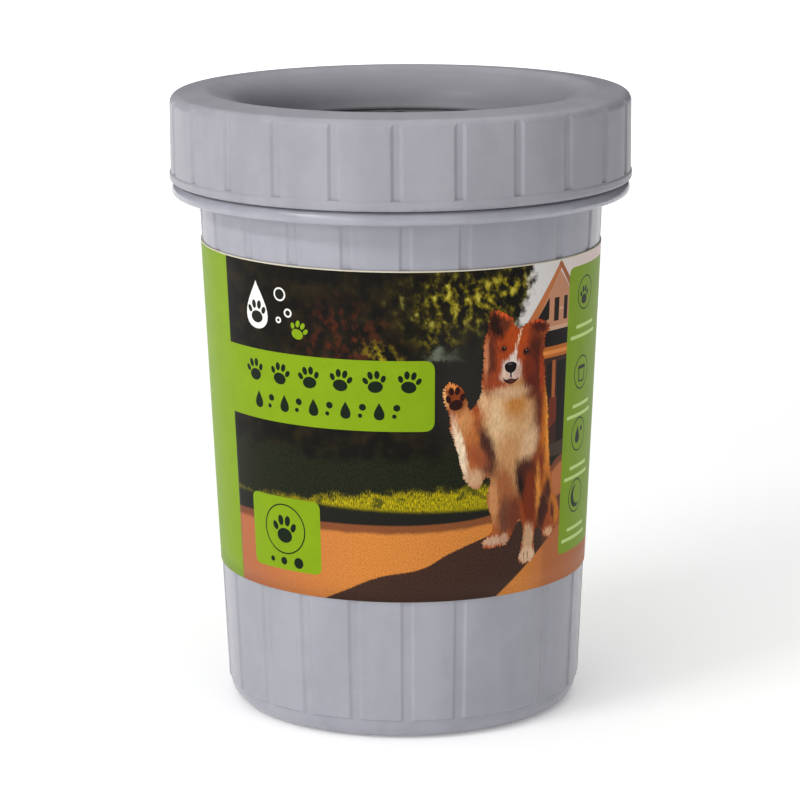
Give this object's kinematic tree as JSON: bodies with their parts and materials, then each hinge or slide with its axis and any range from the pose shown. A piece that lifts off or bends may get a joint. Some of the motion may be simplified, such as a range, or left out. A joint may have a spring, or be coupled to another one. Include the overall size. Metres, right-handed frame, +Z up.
{
  "type": "paw washer cup",
  "caption": "Tapered cup with a screw-on funnel collar, an inward-bristled silicone insert and a printed label band, for washing a pet's paws.",
  "frame": {"origin": "centre of the cup's foot, on the surface that it stands on", "axes": "+Z up along the cup's axis, -Y towards the front of the label"},
  "size_m": [0.1156, 0.1156, 0.156],
  "materials": {
    "cup_plastic": "glossy moulded polypropylene",
    "collar_plastic": "satin moulded polypropylene",
    "insert_silicone": "matte silicone",
    "printed_label": "satin printed paper"
  },
  "bodies": {
    "cup": {"cup_body": "cup_plastic", "label_sleeve": "printed_label"},
    "insert": {"insert_sleeve": "insert_silicone", "insert_bristles": "insert_silicone"},
    "collar": {"screw_collar": "collar_plastic"}
  },
  "joints": [
    {"name": "insert_lift", "type": "slide", "parent": "cup", "child": "insert", "axis": [0, 0, 1], "range_m": [0, 0.005]},
    {"name": "collar_turn", "type": "hinge", "parent": "insert", "child": "collar", "pos_m": [0, 0, 0.14], "axis": [0, 0, 1], "range_deg": [0, 360]}
  ],
  "couplings": [
    {"joint": "insert_lift", "follows": "collar_turn", "m_per_rad": 0.00079577}
  ]
}
